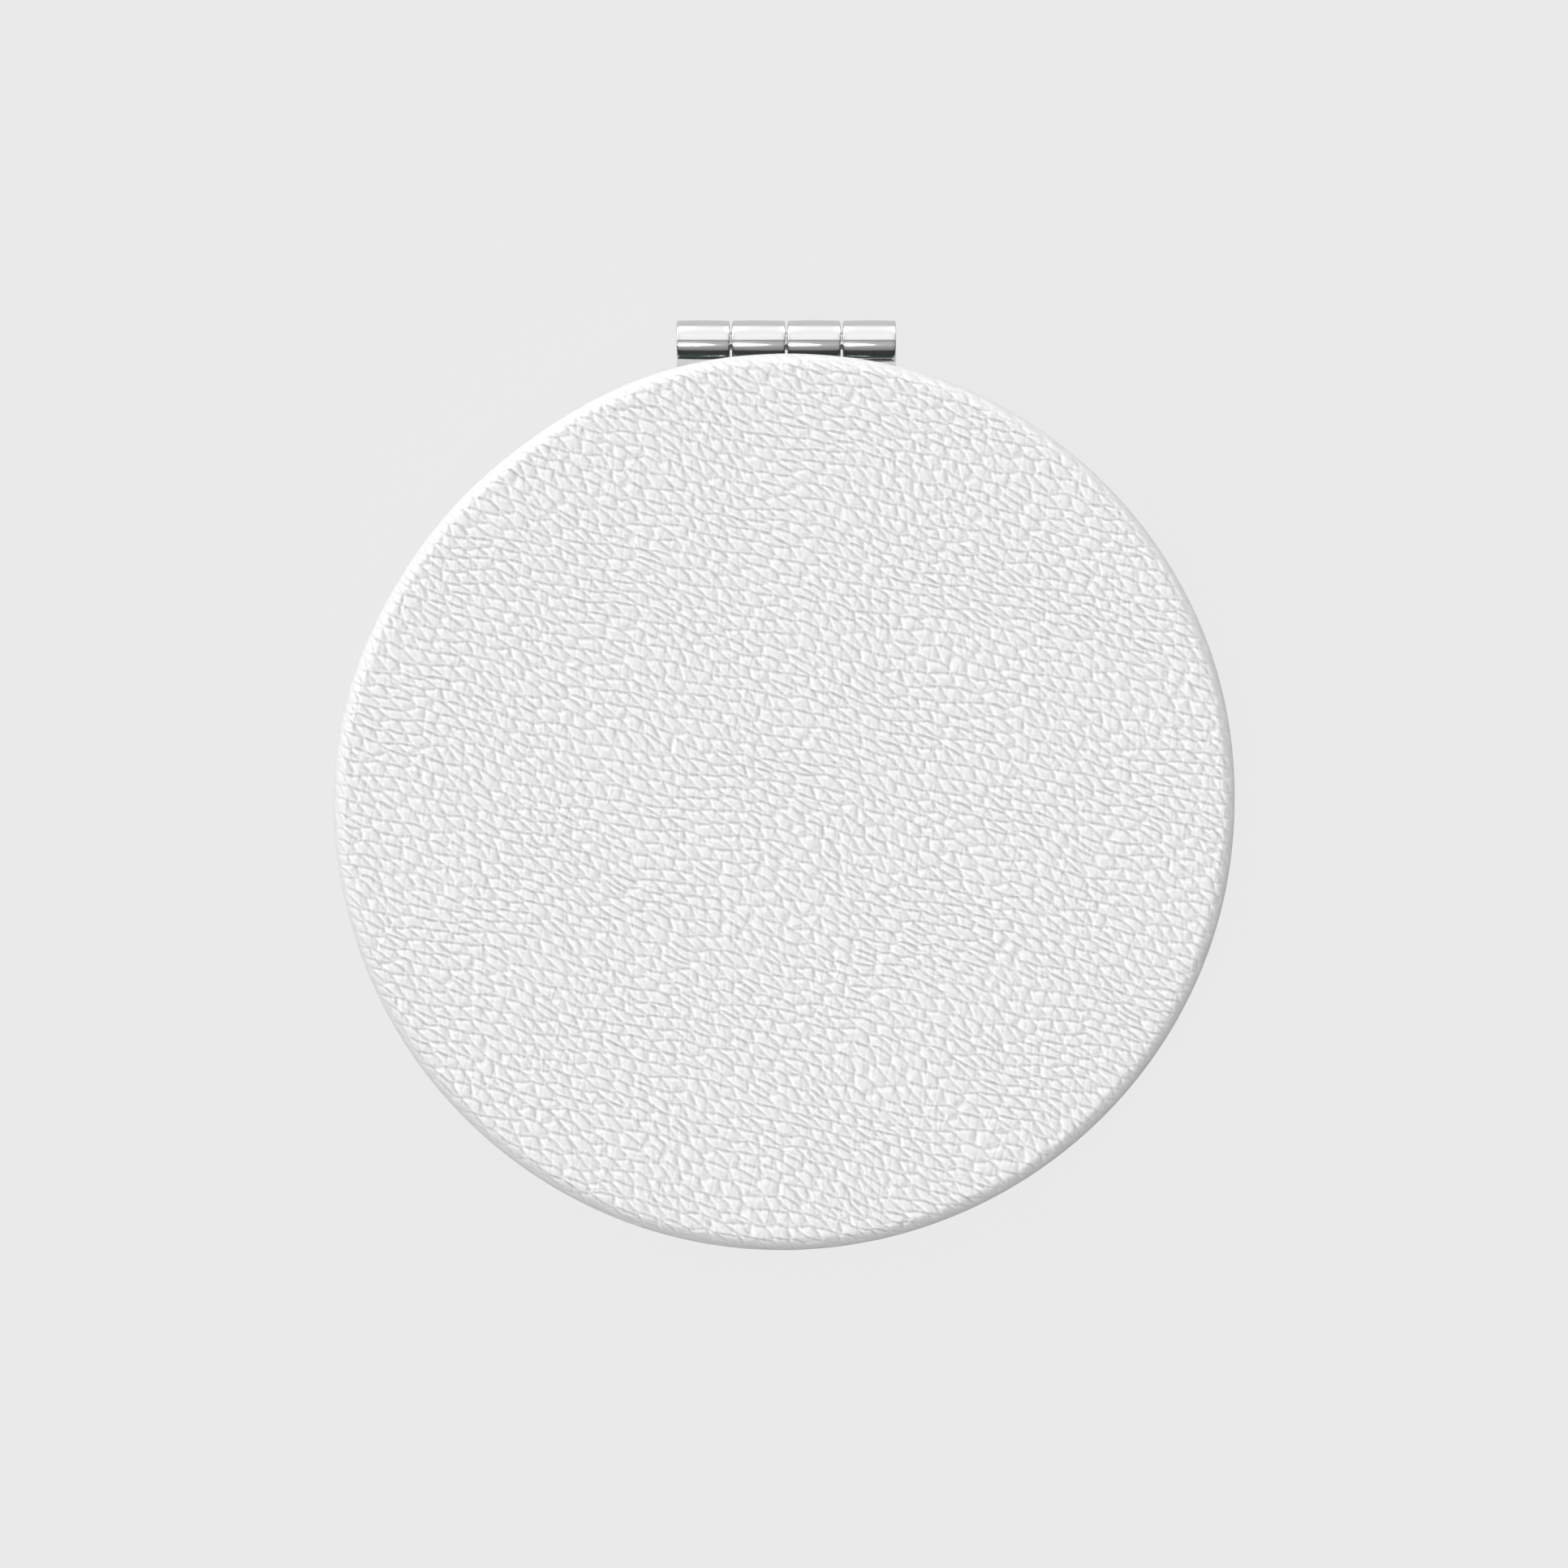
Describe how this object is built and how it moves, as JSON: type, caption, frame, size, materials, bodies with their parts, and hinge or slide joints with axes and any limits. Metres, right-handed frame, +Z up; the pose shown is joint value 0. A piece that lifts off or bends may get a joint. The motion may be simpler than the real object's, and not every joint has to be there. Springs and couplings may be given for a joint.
{
  "type": "compact mirror",
  "caption": "Round pocket mirror in a folding leather-wrapped case, plain glass in the lid and a magnifying glass in the base, shut by magnets.",
  "frame": {"origin": "centre of the base's outer face, on which the shut case lies", "axes": "+Z up out of the lid, +Y towards the hinge, -Y towards the front where the case opens, +X to the right"},
  "size_m": [0.07, 0.0728, 0.0109],
  "materials": {
    "leather": "satin",
    "foam": "matte",
    "plastic": "matte",
    "magnet": "gloss",
    "tape": "matte",
    "mirror": "polished",
    "chrome": "polished",
    "steel": "satin"
  },
  "bodies": {
    "base": {"base_cover": "leather", "base_foam_pad": "foam", "base_tray": "plastic", "base_magnet": "magnet", "base_mirror_tape": "tape", "base_mirror": "mirror", "base_facing_ring": "leather", "base_hinge_leaf": "chrome", "base_rivet_left": "steel", "base_rivet_right": "steel", "hinge_pin": "steel"},
    "lid": {"lid_cover": "leather", "lid_foam_pad": "foam", "lid_tray": "plastic", "lid_magnet": "magnet", "lid_mirror_tape": "tape", "lid_mirror": "mirror", "lid_facing_ring": "leather", "lid_hinge_leaf": "chrome", "lid_rivet_left": "steel", "lid_rivet_right": "steel"}
  },
  "joints": [
    {"name": "lid_hinge", "type": "hinge", "parent": "base", "child": "lid", "pos_m": [0, 0.03615, 0.00545], "axis": [-1, 0, 0], "range_deg": [0, 180]}
  ]
}
